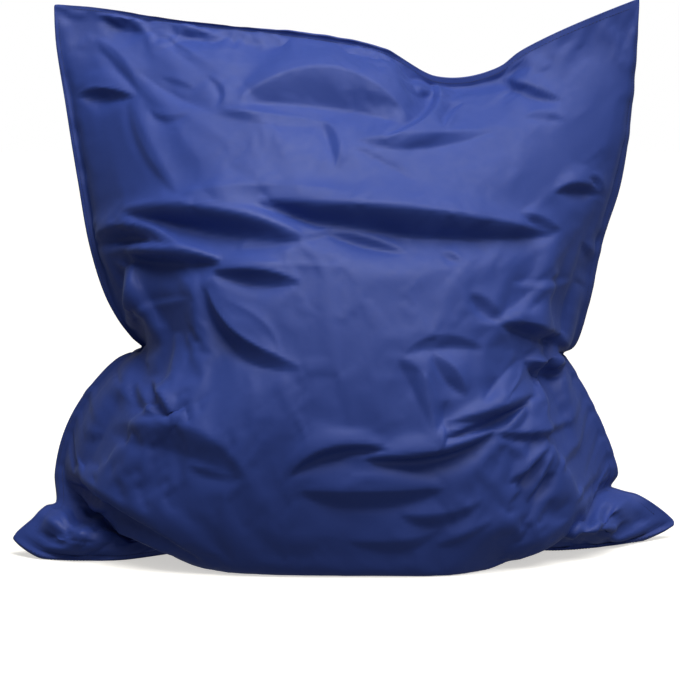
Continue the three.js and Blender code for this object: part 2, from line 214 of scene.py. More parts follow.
# Main folds, as in the solids, seen square on from the front in millimetres: the fold's line
# from one place by way of a second to a third, its half width, the height of the overhang on
# the left-hand side of the line as it runs, and the depth of a plain valley along it.
FRONT_FOLDS = (
    # broad bands that droop across the backrest
    ((-430, 670), (-255, 662), (-85, 640), 24, 25, 0),
    ((-155, 700), (110, 655), (425, 632), 34, 34, 0),
    ((-465, 597), (-310, 583), (-90, 565), 20, 17, 4),
    ((-195, 915), (-25, 905), (165, 895), 42, 30, 0),
    # folds that fan out from the dip in the top edge
    ((185, 935), (172, 855), (85, 812), 22, 16, 4),
    ((320, 955), (380, 918), (440, 895), 20, 12, 3),
    ((212, 890), (230, 865), (245, 830), 16, 8, 4),
    # upper left
    ((-535, 908), (-480, 925), (-420, 903), 18, 14, 3),
    ((-420, 905), (-362, 775), (-295, 705), 24, 4, -4),
    ((-410, 950), (-350, 908), (-255, 875), 20, -8, 6),
    # upper right
    ((20, 800), (190, 798), (360, 835), 34, 6, 10),
    ((20, 803), (80, 765), (140, 735), 20, 4, 8),
    ((420, 710), (470, 722), (515, 738), 18, 9, 3),
    ((345, 672), (385, 652), (430, 640), 18, 8, 0),
    # left flank above the waist
    ((-455, 600), (-440, 525), (-432, 430), 26, 24, 4),
    ((-270, 545), (-225, 445), (-80, 400), 26, -12, 10),
    ((-415, 480), (-375, 508), (-325, 535), 16, 6, -3),
    # right flank above the waist
    ((240, 530), (262, 500), (300, 468), 20, -6, 7),
    ((295, 470), (375, 457), (455, 395), 20, 15, 3),
    ((460, 372), (370, 390), (300, 330), 24, -24, 4),
    # folds that run down and inwards from the right of the waist
    ((372, 335), (280, 305), (180, 262), 20, -19, 0),
    ((470, 262), (405, 255), (280, 275), 16, -10, 0),
    ((185, 250), (165, 325), (152, 388), 18, 15, 3),
    ((110, 425), (185, 452), (270, 425), 24, 4, 9),
    # across the belly
    ((-10, 222), (155, 238), (300, 268), 22, 20, 3),
    ((-100, 195), (-35, 245), (85, 252), 20, 12, 3),
    ((-5, 168), (85, 182), (185, 168), 20, 9, 2),
    ((335, 165), (360, 190), (390, 212), 16, 7, 3),
    ((350, 130), (385, 175), (420, 225), 16, 9, 3),
    # left of the waist
    ((-418, 362), (-392, 305), (-318, 287), 22, -17, 6),
    # where the mound bulges over the left ear, and the ear's own ridge
    ((-578, 165), (-430, 120), (-215, 20), 30, 12, 0),
    ((-560, 70), (-520, 40), (-500, 12), 22, 0, 5),
    # creases that gather into the right ear
    ((455, 70), (500, 105), (530, 150), 18, 7, 3),
    ((575, 88), (610, 62), (650, 32), 20, 0, 4),
)
BACK_FOLDS = (
    # drooping bands over the crease at the waist
    ((-380, 560), (-60, 520), (250, 545), 34, 22, 4),
    ((60, 620), (260, 600), (440, 560), 28, 18, 3),
    ((-440, 690), (-250, 662), (-70, 690), 28, 14, 4),
    ((-60, 760), (150, 730), (380, 765), 30, 15, 3),
    # folds that fan out from the dip in the top edge
    ((180, 930), (90, 880), (-40, 850), 26, -15, 5),
    ((250, 935), (300, 860), (390, 810), 26, 14, 5),
    ((-500, 950), (-400, 880), (-280, 845), 24, 10, 5),
    # folds that run away from the pinched waist
    ((-405, 420), (-330, 475), (-200, 500), 26, 16, 5),
    ((440, 410), (380, 470), (270, 500), 26, -16, 5),
    ((-400, 375), (-320, 320), (-180, 290), 26, -14, 5),
    ((440, 360), (370, 300), (220, 275), 26, 14, 5),
    ((-160, 380), (20, 330), (190, 370), 30, 12, 5),
    # across the back of the mound
    ((-420, 210), (-220, 185), (-20, 215), 26, 14, 3),
    ((60, 190), (240, 160), (430, 195), 26, 13, 3),
    ((-560, 120), (-450, 90), (-340, 25), 28, 20, 6),
    ((550, 110), (460, 80), (350, 20), 28, -20, 6),
)
# Fine creases, in the same columns, for the finished cloth alone
FRONT_CREASES = (
    # upper left
    ((-535, 903), (-484, 909), (-418, 901), 14, 13, 0),
    ((-496, 1068), (-444, 1050), (-393, 1035), 16, 10, 0),
    ((-393, 1049), (-315, 1031), (-239, 1012), 11, 7, 0),
    ((-425, 899), (-393, 806), (-316, 708), 22, 4, -4),
    ((-307, 704), (-159, 709), (4, 708), 26, 8, 0),
    ((-412, 951), (-329, 901), (-258, 873), 13, 0, 5),
    ((-383, 879), (-352, 856), (-302, 871), 9, 3, 2),
    ((-275, 945), (-240, 911), (-252, 879), 9, 3, 2),
    ((-367, 939), (-326, 927), (-294, 915), 8, 2, 1),
    ((-505, 1017), (-454, 972), (-406, 911), 16, 5, -3),
    # the wide shaded fold under the top edge, and the dip
    ((-203, 891), (-26, 918), (129, 851), 42, 20, 0),
    ((-258, 867), (-148, 858), (-26, 850), 14, 3, 0),
    ((182, 928), (174, 871), (76, 817), 14, 10, 0),
    ((-45, 859), (-18, 821), (-13, 760), 14, 7, 0),
    ((245, 887), (213, 863), (201, 836), 10, 6, 0),
    ((122, 927), (156, 911), (190, 916), 10, 6, 0),
    # upper right
    ((321, 936), (378, 913), (442, 893), 13, 8, 0),
    ((327, 952), (358, 964), (378, 972), 9, 4, 2),
    ((362, 859), (405, 863), (446, 853), 10, 4, 0),
    ((33, 817), (151, 813), (303, 834), 16, 7, 0),
    ((20, 800), (82, 773), (141, 733), 10, 0, 5),
    ((419, 712), (470, 722), (520, 704), 13, 10, 0),
    ((491, 744), (511, 733), (522, 702), 8, 5, 0),
    ((348, 674), (385, 657), (429, 637), 12, 7, 0),
    ((-150, 700), (-90, 668), (-30, 650), 9, -5, 0),
    ((-60, 640), (-35, 650), (-20, 662), 7, 0, -4),
    ((-12, 912), (60, 905), (120, 870), 10, 0, -3),
    ((-245, 880), (-180, 868), (-60, 862), 9, 0, -4),
    ((178, 935), (190, 890), (150, 838), 9, 0, -5),
    # the two drooping bands
    ((-431, 676), (-246, 663), (-77, 632), 30, 22, 0),
    ((-167, 696), (109, 662), (421, 632), 30, 24, 0),
    ((-35, 648), (42, 631), (125, 608), 11, 9, 0),
    ((192, 607), (210, 600), (229, 585), 8, 5, 0),
    ((-218, 621), (-121, 628), (-25, 644), 12, 4, 0),
    # left flank
    ((-503, 606), (-420, 636), (-315, 612), 20, 18, 0),
    ((-463, 584), (-345, 592), (-231, 587), 22, 20, 0),
    ((-251, 567), (-167, 561), (-81, 550), 18, 13, 0),
    ((-418, 598), (-431, 533), (-437, 447), 26, 18, 0),
    ((-261, 536), (-203, 441), (-77, 394), 24, 16, 0),
    ((-436, 455), (-377, 494), (-284, 517), 10, -3, -3),
    ((-489, 651), (-510, 620), (-505, 592), 10, -5, 0),
    ((-449, 451), (-433, 434), (-421, 414), 9, 4, 4),
    ((-500, 600), (-400, 606), (-215, 578), 7, 0, -4),
    ((-235, 578), (-90, 582), (20, 575), 8, 0, -3),
    ((-250, 560), (-262, 545), (-270, 528), 7, 0, -4),
    ((-230, 520), (-140, 470), (-120, 400), 14, 0, -4),
    # right flank
    ((242, 527), (273, 503), (300, 472), 14, 7, 0),
    ((300, 466), (374, 449), (457, 394), 17, 14, 0),
    ((311, 453), (373, 425), (448, 381), 7, 0, -3),
    ((322, 542), (384, 538), (457, 540), 12, -4, 0),
    ((474, 616), (503, 568), (494, 511), 12, 5, 0),
    # overhang at the right of the waist
    ((350, 393), (402, 369), (448, 360), 16, 18, 0),
    ((368, 392), (378, 364), (378, 344), 9, 3, 7),
    ((343, 397), (309, 357), (266, 323), 20, 10, 0),
    # folds that fan out below it
    ((186, 289), (277, 308), (365, 329), 9, 9, 0),
    ((182, 265), (268, 292), (359, 319), 11, 11, 0),
    ((39, 231), (178, 237), (290, 273), 15, 17, 0),
    ((288, 271), (358, 257), (470, 259), 10, 7, 0),
    ((308, 277), (338, 287), (354, 314), 11, 7, 0),
    ((177, 248), (190, 271), (188, 290), 8, 5, 0),
    ((209, 276), (258, 288), (308, 304), 6, 0, -3),
    # upright crease and its neighbours
    ((153, 386), (159, 327), (182, 256), 12, 0, -5),
    ((195, 334), (191, 309), (194, 284), 12, 0, 6),
    ((169, 419), (201, 380), (231, 341), 16, 9, 0),
    ((112, 417), (183, 442), (268, 422), 16, 6, 0),
    ((103, 410), (143, 365), (169, 280), 22, 6, 0),
    # across the belly
    ((-99, 196), (-24, 244), (93, 245), 13, 10, 0),
    ((-80, 169), (46, 153), (192, 172), 24, 10, 0),
    ((103, 125), (181, 112), (265, 146), 16, 6, 0),
    ((174, 64), (223, 78), (288, 110), 12, 3, -4),
    ((4, 73), (107, 63), (182, 93), 16, 4, 0),
    # small slanting creases at the right
    ((312, 175), (339, 187), (362, 211), 8, 6, 0),
    ((323, 158), (355, 195), (397, 234), 9, 8, 0),
    ((347, 133), (379, 170), (406, 222), 9, 8, 0),
    ((312, 135), (329, 149), (343, 166), 7, 4, 0),
    ((420, 182), (455, 203), (498, 213), 14, 5, 0),
    ((452, 119), (489, 131), (525, 142), 11, 6, 0),
    ((449, 19), (462, 57), (504, 82), 9, 6, 0),
    ((489, 46), (518, 72), (544, 91), 9, 7, 0),
    ((514, 17), (541, 38), (567, 55), 9, 5, 0),
    # right ear
    ((555, 91), (604, 64), (661, 24), 13, 8, 0),
    ((581, 85), (604, 57), (588, 35), 10, 4, 3),
    # left of the waist
    ((-405, 348), (-392, 315), (-349, 291), 14, 8, 0),
    ((-371, 350), (-347, 324), (-318, 290), 12, 10, 0),
    ((-454, 249), (-298, 255), (-181, 189), 38, 10, 0),
    ((-296, 209), (-249, 197), (-193, 190), 12, 4, 0),
    ((-529, 222), (-496, 231), (-467, 241), 9, 4, 0),
    # the mound over the left ear
    ((-560, 129), (-434, 111), (-262, 25), 13, 9, 5),
    ((-551, 152), (-472, 137), (-408, 110), 14, 6, 0),
    ((-463, 64), (-392, 51), (-322, 28), 12, 9, 0),
    ((-568, 80), (-519, 78), (-449, 105), 11, 7, 0),
    ((-554, 43), (-542, 66), (-497, 72), 10, 5, 0),
    ((-505, 26), (-502, 47), (-476, 60), 9, 5, 0),
    ((-640, 48), (-575, 58), (-480, 42), 14, 9, 0),
    ((-590, 27), (-580, 50), (-553, 63), 9, 4, 0),
)
BACK_CREASES = (
    # beside the drooping bands
    ((-330, 590), (-190, 572), (-40, 585), 14, 8, 0),
    ((-120, 640), (20, 628), (150, 646), 16, 9, 0),
    ((120, 575), (260, 566), (380, 584), 12, 8, 0),
    ((-400, 735), (-320, 722), (-220, 738), 12, 6, 0),
    ((200, 700), (300, 690), (420, 706), 14, 8, 0),
    # under the top edge
    ((-420, 1000), (-330, 960), (-210, 940), 16, 7, 0),
    ((-150, 950), (-60, 920), (40, 930), 14, 0, 5),
    ((300, 960), (350, 920), (440, 890), 12, -7, 0),
    ((-480, 860), (-430, 810), (-400, 740), 14, 0, 4),
    ((60, 850), (160, 830), (270, 850), 14, 6, 0),
    ((470, 900), (500, 830), (490, 760), 12, -5, 0),
    # around the pinched waist
    ((-440, 440), (-380, 470), (-300, 470), 12, 8, 0),
    ((-430, 400), (-340, 410), (-240, 390), 12, -8, 0),
    ((450, 430), (390, 460), (310, 455), 12, -8, 0),
    ((455, 395), (370, 395), (280, 375), 12, 9, 0),
    ((-90, 430), (30, 412), (140, 432), 16, 8, 0),
    # over the back of the mound
    ((-480, 300), (-380, 270), (-260, 262), 14, 8, 0),
    ((480, 290), (390, 255), (280, 250), 14, -8, 0),
    ((-160, 250), (-30, 235), (110, 255), 16, 7, 0),
    ((-360, 150), (-260, 130), (-140, 140), 14, 6, 0),
    ((180, 140), (290, 120), (400, 140), 14, 6, 0),
    ((-590, 70), (-540, 60), (-480, 30), 12, 6, 0),
    ((610, 70), (560, 55), (500, 30), 12, -6, 0),
)

BOTTOM_REACH = 0.33  # how far the bottom seam's own curve is felt up the cloth
TOP_REACH = 0.42
FOLD_STEPS = 12
FOLD_REACH = 4.0  # in half widths, past which a fold isn't felt
FOLD_TAPER = 0.8
END_WIDTH = 0.15  # a fold's width at its ends, as a share of its width in the middle
SOFT_SHARE = 0.2  # of a main fold's depth that is rounded, the rest being creased
CREST_AT = 0.7  # a sharp crest's place, in half widths
CREST_FADE = 2.2  # how quickly the cloth falls away outside a crest
VALLEY_SHARPNESS = 0.8
EDGE_FADE = 0.045
CREASE_EDGE_FADE = 0.012
VALLEY_TOP = 0.33
VALLEY_FADE = 0.11
VALLEY_STARTS_AT = 0.45
VALLEY_FULL_AT = 0.62

# The simulation
CLOTH_SETTINGS = {
    "quality": 5,
    "mass": 0.3,
    "tension_stiffness": 40,
    "compression_stiffness": 40,
    "shear_stiffness": 20,
    "air_damping": 4,
    "use_pressure": True,
}
FLOOR_TOUCH = 0.004
FLOOR_HOLD = 1.0
SWELL_CELLS = 5.0  # wider waves than this are swelling and are taken back
WRINKLE_CAP = 0.014
WRINKLE_SHARE = 0.22  # of the wrinkles that is kept in the middle of a panel
WRINKLES_START = 0.45
WRINKLES_FULL = 0.85
WRINKLES_NEAR_END = (0.7, 0.88)  # distances from the bag's middle, over which they set in
SMOOTH_ABOVE = (1.05, 1.3)  # places along, between which the side seams' wrinkles die out

# The surface's direction is averaged over this many half cells, so that slanting creases don't
# look stepped
NORMAL_BLUR = 0.95

# The stitched edge: grid lines as shares of its width, and its rows of stitches from the rim
STRIP_LINES = (0.3, 0.6, 0.85, 1.0)
TIP_RADIUS = 0.03
RIM_ROUNDING = 0.006
PUCKER_REACH = 0.03
GATHER_LENGTH = 0.032
SMALL_GATHER_LENGTH = 0.017
SMALL_GATHER_SHARE = 0.3
EDGE_SEED = 6
# How far the edge turns back at its rim, and where along the bag it does
TURNED_RIGHT = 0.016
TURNED_LEFT = 0.014
TURNED_TOP = -0.006
TURN_STARTS = (0.10, 0.25)
TURN_ENDS = (1.6, 1.75)
LEFT_TURN_ENDS = (0.7, 0.9)
TOP_TURN_STARTS = (-0.9, -0.6)  # across
TOP_TURN_ENDS = (0.1, 0.3)
STITCH_ROWS = (0.010, 0.0235)
GROOVE_WIDTH = 0.003
GROOVE_DEPTH = 0.0008
STITCH_PITCH = 0.0062
RINGS_PER_STITCH = 3
THREAD_HEIGHTS = (-0.0014, 0.0003, 0.0003)  # above the cloth, at each ring of a stitch
THREAD_RADIUS = 0.0006
THREAD_SIDES = 4
THREAD_ROOM = 0.001  # between the cloth and the floor

# The studio
FLOOR_RADIUS = 40.0
FLOOR_SIDES = 64
LIGHT_FROM = (0.4, -0.15, 0.95)
SOFTBOXES = (
    # place, aim, size and share of the softboxes' power
    ((-0.2, -0.9, 2.3), (0.0, 0.0, 0.7), 1.2, 0.7),
    ((1.8, -3.2, 1.5), (0.0, 0.0, 0.5), 1.8, 0.3),
)
CAMERA_PLACE = (-0.019, -4.361, 0.880)
CAMERA_DROP = 6.0  # degrees below the horizon
LENS = 115.3
SENSOR = 36.0

# Patterns in the materials, as texture scales, and the heights of their bumps in metres
BLOTCHES = 3.0
GRAIN = 60.0
CRUMPLES = 9.0
RIPPLES = 26.0
CRUMPLE_HEIGHT = 0.004
RIPPLE_HEIGHT = 0.002
WEAVE_HEIGHT = 0.0002
FIBRE_HEIGHT = 0.0002
WAVE_UNIT = 0.314  # a wave texture of scale 1 repeats after this many metres
THREAD_FIBRES = 900.0
PAPER_CLOUDS = 4.0
NOISE_RANGE = (0.3, 0.7)  # where most of a noise texture's values lie
BLOTCH_SHARES = (0.35, 1.0)
THREAD_SHADE = 0.7  # a thread's darkest fibres, as a share of its colour
PAPER_SHADE = 0.98
SPECULAR = 0.35
SHEEN = 0.12
SHEEN_ROUGHNESS = 0.45
SHEEN_TINT = (0.45, 0.58, 1.0, 1)
THREAD_ROUGHNESS = 0.5
PAPER_ROUGHNESS = 0.9
PAPER_SPECULAR = 0.1

FINISHED = {}  # grids of the finished panels, kept for the stitches


def curve_through(rows, place_unit, units):
    """A smooth curve through a table, as a function of a place or an array of places."""
    table = np.array(rows, dtype=float)
    places = table[:, 0] * place_unit
    values = table[:, 1:] * units
    last = len(places) - 2

    def curve(place):
        place = np.atleast_1d(np.asarray(place, dtype=float))
        k = np.clip(np.searchsorted(places, place, side="right") - 1, 0, last)
        start, end = places[k], places[k + 1]
        before = np.where(k > 0, places[np.maximum(k - 1, 0)], 2 * start - end)
        after = np.where(k < last, places[np.minimum(k + 2, last + 1)], 2 * end - start)
        index_before = np.where(k > 0, k - 1, k + 1)
        index_after = np.where(k < last, k + 2, k)
        weight_before = (0.5 * (end - start) / (start - before))[:, None]
        weight_after = (0.5 * (end - start) / (after - end))[:, None]
        p = ((place - start) / (end - start))[:, None]
        share_before = -weight_before * (p**3 - 2 * p**2 + p)
        share_start = (1 + weight_before) * p**3 + (-1.5 - 2 * weight_before) * p**2
        share_start += (-0.5 + weight_before) * p + 1
        share_end = (-1 - weight_after) * p**3 + (1.5 + weight_after) * p**2 + 0.5 * p
        share_after = weight_after * (p**3 - p**2)
        return (
            share_before * values[index_before]
            + share_start * values[k]
            + share_end * values[k + 1]
            + share_after * values[index_after]
        )

    return curve


left_seam = curve_through(LEFT_SEAM, MM, MM)
right_seam = curve_through(RIGHT_SEAM, MM, MM)
bottom_seam = curve_through(BOTTOM_SEAM, MM, MM)
top_seam = curve_through(TOP_SEAM, MM, MM)


def chord(across, along):
    """Straight lines from the left seam to the right seam, one for each place along."""
    share = ((across + 1) / 2)[..., None]
    left = left_seam(along.ravel()).reshape(along.shape + (3,))
    right = right_seam(along.ravel()).reshape(along.shape + (3,))
    return left * (1 - share) + right * share


def middle_surface(across, along):
    """The surface midway between the panels, which passes through all four seams."""
    from_bottom = np.exp(-((along / BOTTOM_REACH) ** 2) * 2)[..., None]
    from_top = np.exp(-(((CLOTH_LENGTH - along) / TOP_REACH) ** 2) * 2)[..., None]
    bottom = bottom_seam(across.ravel()).reshape(across.shape + (3,))
    top = top_seam(across.ravel()).reshape(across.shape + (3,))
    point = chord(across, along)
    point = point + (bottom - chord(across, np.zeros_like(along))) * from_bottom
    return point + (top - chord(across, np.full_like(along, CLOTH_LENGTH))) * from_top


def middle_line(rows):
    """A panel's middle line, carried to both seams so that it ends on them."""
    ends = []
    for along in (0.0, EDGE_WIDTH, INNER_TOP, CLOTH_LENGTH):
        point = middle_surface(np.zeros(1), np.array([along]))[0]
        ends.append((along / MM, point[1] / MM, point[2] / MM))
    return curve_through((*ends[:2], *rows, *ends[2:]), MM, MM)


PANELS = {
    "front": {
        "outward": -1,
        "seed": 11,
        "sharp_share": 0.0,  # the front's main folds are creased one by one
        "pushes": EAR_PUSHES + FRONT_PUSHES,
        "folds": FRONT_FOLDS,
        "creases": FRONT_CREASES,
        "middle": middle_line(FRONT_MIDDLE),
        "fullness": curve_through(FRONT_FULLNESS, MM, PLAIN),
    },
    "back": {
        "outward": 1,
        "seed": 12,
        "sharp_share": 1 - SOFT_SHARE,
        "pushes": EAR_PUSHES,
        "folds": BACK_FOLDS,
        "creases": BACK_CREASES,
        "middle": middle_line(BACK_MIDDLE),
        "fullness": curve_through(BACK_FULLNESS, MM, PLAIN),
    },
}


def crown(panel, across, along):
    """1 at the fullest place of the panel's width, 0 at the side seams."""
    fullness = panel["fullness"](along.ravel()).reshape(along.shape + (3,))
    square, power, lean = fullness[..., 0], fullness[..., 1], fullness[..., 2]
    reach = np.where(across > lean, INNER - lean, INNER + lean)
    share = np.minimum(1, np.abs(across - lean) / reach)
    return (1 - share**square) ** power


def nearness(across, along, mid_across, mid_along, wide, tall):
    """1 at the middle of a push, fading out over its width and height."""
    a = (across - mid_across) / wide
    b = (along - mid_along) / tall
    return np.exp(-(a * a + b * b))


def smooth_points(panel, across, along):
    """The panel's surface before its folds."""
    point = middle_surface(across, along)
    middle = panel["middle"](along.ravel()).reshape(along.shape + (2,))
    centre = middle_surface(np.zeros_like(across), along)
    share = crown(panel, across, along)
    push = np.zeros_like(across)
    for lobe_across, lobe_along, wide, tall, apart, forward in EAR_LOBES:
        near = nearness(across, along, lobe_across, lobe_along, wide, tall)
        push += (apart * panel["outward"] - forward) * near
    y = point[..., 1] + (middle[..., 0] - centre[..., 1]) * share + push
    z = point[..., 2] + (middle[..., 1] - centre[..., 2]) * share
    for push_across, push_along, wide, tall, forward, up in panel["pushes"]:
        near = nearness(across, along, push_across, push_along, wide, tall)
        y = y - forward * near
        z = z + up * near
    return np.stack([point[..., 0] - BASE_MIDDLE[0], y - BASE_MIDDLE[1], z], axis=-1)


def on_floor(z):
    """Cloth that would hang below the floor lies flat on it."""
    rounded = (z + FLOOR_ROUNDING) ** 2 / (4 * FLOOR_ROUNDING)
    return np.where(z <= -FLOOR_ROUNDING, 0.0, np.where(z >= FLOOR_ROUNDING, z, rounded))


def fold_points(start, via, end):
    """A chain of places on the curve from start to end that passes through via."""
    start, via, end = np.array(start, float), np.array(via, float), np.array(end, float)
    control = 2 * via - (start + end) / 2
    t = np.linspace(0, 1, FOLD_STEPS + 1)[:, None]
    return ((1 - t) ** 2 * start + 2 * t * (1 - t) * control + t**2 * end) * MM


def beside_line(points, x, z):
    """Distance from a chain of places, positive on its left-hand side, and the share passed."""
    nearest = np.full(x.shape, np.inf)
    side = np.ones(x.shape)
    share = np.zeros(x.shape)
    for i in range(len(points) - 1):
        start_x, start_z = points[i]
        run_x, run_z = points[i + 1] - points[i]
        dot = (x - start_x) * run_x + (z - start_z) * run_z
        part = np.clip(dot / (run_x * run_x + run_z * run_z), 0, 1)
        off_x = x - start_x - part * run_x
        off_z = z - start_z - part * run_z
        distance = np.hypot(off_x, off_z)
        closer = distance < nearest
        nearest = np.where(closer, distance, nearest)
        turn = np.where(run_x * off_z - run_z * off_x < 0, -1.0, 1.0)
        side = np.where(closer, turn, side)
        share = np.where(closer, (i + part) / (len(points) - 1), share)
    return side * nearest, share


def soft_profile(away, roll, dent):
    """A rounded overhang with a hollow beside it, and a rounded valley."""
    return roll * away * np.exp((1 - away * away) / 2) - dent * np.exp(-away * away)


def sharp_profile(away, roll, dent):
    """The same with a creased crest and a creased valley, as slick cloth folds."""
    size = np.abs(away)
    outside = (np.clip(FOLD_REACH - size, 0, None) / (FOLD_REACH - CREST_AT)) ** CREST_FADE
    rolled = np.sign(away) * np.where(size < CREST_AT, size / CREST_AT, outside)
    return roll * rolled - dent * np.exp(-size / VALLEY_SHARPNESS)


def fold_lift(folds, x, z, profile):
    """How far the folds of a table lift the cloth outwards at places seen from the front."""
    lift = np.zeros(x.shape)
    for start, via, end, wide, roll, dent in folds:
        points = fold_points(start, via, end)
        reach = FOLD_REACH * wide * MM
        low, high = points.min(axis=0) - reach, points.max(axis=0) + reach
        near = (x > low[0]) & (x < high[0]) & (z > low[1]) & (z < high[1])
        if not near.any():
            continue
        distance, share = beside_line(points, x[near], z[near])
        strength = np.sin(np.pi * share) ** FOLD_TAPER
        away = distance / (wide * MM * (END_WIDTH + (1 - END_WIDTH) * strength))
        strength = strength * (np.abs(away) < FOLD_REACH)
        lift[near] += strength * profile(away, roll * MM, dent * MM)
    return lift


def smoothstep(value, low, high):
    """0 below the lower limit, 1 above the higher one, with a smooth rise between them."""
    share = np.clip((value - low) / (high - low), 0, 1)
    return share * share * (3 - 2 * share)


def fold_strength(across, along, edge_fade):
    """Folds fade at the stitched edge and in the tight valleys beside the bottom ears."""
    from_side = (INNER - np.abs(across)) * HALF_WIDTH
    from_end = np.minimum(along, CLOTH_LENGTH - along) - EDGE_WIDTH
    above_valley = smoothstep(along, VALLEY_TOP - VALLEY_FADE, VALLEY_TOP)
    beside_valley = 1 - smoothstep(np.abs(across), VALLEY_STARTS_AT, VALLEY_FULL_AT)
    from_edge = smoothstep(np.minimum(from_side, from_end), 0, edge_fade)
    return from_edge * np.maximum(above_valley, beside_valley)


def grid_normals(points, outward):
    """Unit normals of a grid of points, rows along the cloth, pointing out of the bag."""
    rightwards = np.gradient(points, axis=1)
    upwards = np.gradient(points, axis=0)
    normal = np.cross(rightwards, upwards) * -outward
    return normal / (np.linalg.norm(normal, axis=-1, keepdims=True) + TINY)


def blurred(grid, cells):
    """A grid of values smoothed over a number of cells, its borders mirrored."""
    reach = int(3 * cells)
    steps = np.arange(-reach, reach + 1)
    kernel = np.exp(-((steps / cells) ** 2) / 2)
    kernel = kernel / kernel.sum()
    for axis in (0, 1):
        pad = [(0, 0)] * grid.ndim
        pad[axis] = (reach, reach)
        wide = np.pad(grid, pad, mode="reflect")
        size = grid.shape[axis]
        parts = [
            np.take(wide, range(k, k + size), axis=axis) * weight
            for k, weight in enumerate(kernel)
        ]
        grid = sum(parts)
    return grid


def sampled(grid, rows, columns):
    """Values of a grid at fractional rows and columns, on smooth curves through its points."""
    for axis, places in ((0, rows), (1, columns)):
        size = grid.shape[axis]
        whole = np.clip(np.floor(places).astype(int), 0, size - 2)
        t = (places - whole).reshape((-1,) + (1,) * (grid.ndim - 1 - axis))
        if axis == 1:
            t = t[None]
        near = [np.clip(whole + k, 0, size - 1) for k in (-1, 0, 1, 2)]
        a, b, c, d = (np.take(grid, index, axis=axis) for index in near)
        cubic = 3 * (b - c) + d - a
        grid = b + 0.5 * t * (c - a + t * (2 * a - 5 * b + 4 * c - d + t * cubic))
    return grid


def wavering(places, length, spacing, seed):
    """An uneven wave along a closed line, between about -1 and 1, the same each time."""
    count = max(4, int(round(length / spacing)))
    heights = np.random.RandomState(seed).uniform(-1, 1, count)
    place = (np.asarray(places) / length % 1) * count
    whole = np.floor(place).astype(int)
    t = place - whole
    t = t * t * (3 - 2 * t)
    return heights[whole % count] * (1 - t) + heights[(whole + 1) % count] * t


# Making meshes


def panel_grid(bm, columns, rows, points):
    """Adds one panel as a grid of faces and puts its corners in place."""
    made = bmesh.ops.create_grid(bm, x_segments=columns, y_segments=rows, size=1)
    corners = sorted(made["verts"], key=lambda v: (round(v.co.y, 6), round(v.co.x, 6)))
    for corner, place in zip(corners, points.reshape(-1, 3)):
        corner.co = place
    return corners


def mesh_from(bm, name):
    """The bmesh as a mesh. The bmesh is freed."""
    mesh = bpy.data.meshes.new(name)
    bm.to_mesh(mesh)
    bm.free()
    return mesh


def new_object(name, data):
    made = bpy.data.objects.new(name, data)
    bpy.context.scene.collection.objects.link(made)
    return made


def aimed(name, data, towards):
    """A lamp that shines the given way."""
    lamp = new_object(name, data)
    lamp.rotation_euler = Vector(towards).to_track_quat("-Z", "Y").to_euler()
    return lamp


def rim_of(shape):
    """Marks the outermost rows and columns of a grid."""
    rim = np.zeros(shape, bool)
    rim[[0, -1]] = True
    rim[:, [0, -1]] = True
    return rim


def vertex_places(mesh):
    places = np.empty(len(mesh.vertices) * 3)
    mesh.vertices.foreach_get("co", places)
    return places.reshape(-1, 3)


def sim_lines(cloth):
    """Grid lines of the cloth that is simulated, between the inner rows of stitches."""
    across = np.linspace(-INNER, INNER, cloth.columns + 1)
    along = np.linspace(EDGE_WIDTH, INNER_TOP, cloth.rows + 1)
    return np.meshgrid(across, along)


def posed_panel(name, across, along):
    """A panel with its main folds, before the simulation."""
    panel = PANELS[name]
    points = smooth_points(panel, across, along)
    normals = grid_normals(points, panel["outward"])
    x, z = points[..., 0] + BASE_MIDDLE[0], points[..., 2]
    lift = fold_lift(panel["folds"], x, z, soft_profile) * SOFT_SHARE
    lift = lift * fold_strength(across, along, EDGE_FADE)
    points = points + normals * lift[..., None]
    points[..., 2] = on_floor(points[..., 2])
    return points


def slack_cloth(cloth, panels):
    """Both panels joined at their rims as one mesh, and the place of each corner in the grids."""
    bm = bmesh.new()
    order = bm.verts.layers.int.new("order")
    for k, name in enumerate(PANELS):
        corners = panel_grid(bm, cloth.columns, cloth.rows, panels[name])
        for i, corner in enumerate(corners):
            corner[order] = k * len(corners) + i
    bmesh.ops.remove_doubles(bm, verts=bm.verts, dist=WELD)
    bmesh.ops.recalc_face_normals(bm, faces=bm.faces)
    kept_order = np.array([corner[order] for corner in bm.verts])
    return mesh_from(bm, "slack cloth"), kept_order


def settled_moves(cloth, mesh, on_rim):
    """Cloth simulation: how far each corner of the slack cloth moves until it rests."""
    sheet = new_object("slack_cloth", mesh)
    start = vertex_places(mesh)
    held = sheet.vertex_groups.new(name="held")
    held.add(range(len(start)), cloth.hold, "REPLACE")
    held.add(np.nonzero(start[:, 2] < FLOOR_TOUCH)[0].tolist(), FLOOR_HOLD, "REPLACE")
    held.add(np.nonzero(on_rim)[0].tolist(), 1.0, "REPLACE")
    modifier = sheet.modifiers.new("Cloth", "CLOTH")
    settings = modifier.settings
    for name, value in CLOTH_SETTINGS.items():
        setattr(settings, name, value)
    settings.bending_stiffness = cloth.stiffness
    settings.shrink_min = -cloth.slack
    settings.uniform_pressure_force = cloth.pressure
    settings.vertex_group_mass = held.name
    settings.effector_weights.gravity = 0
    modifier.collision_settings.use_collision = False
    modifier.collision_settings.use_self_collision = False
    modifier.point_cache.frame_start = 1
    modifier.point_cache.frame_end = cloth.frames
    for number in range(1, cloth.frames + 1):
        bpy.context.scene.frame_set(number)
    settled = sheet.evaluated_get(bpy.context.evaluated_depsgraph_get())
    moved = vertex_places(settled.to_mesh()) - start
    settled.to_mesh_clear()
    bpy.context.scene.frame_set(1)
    bpy.data.objects.remove(sheet)
    bpy.data.meshes.remove(mesh)
    return moved


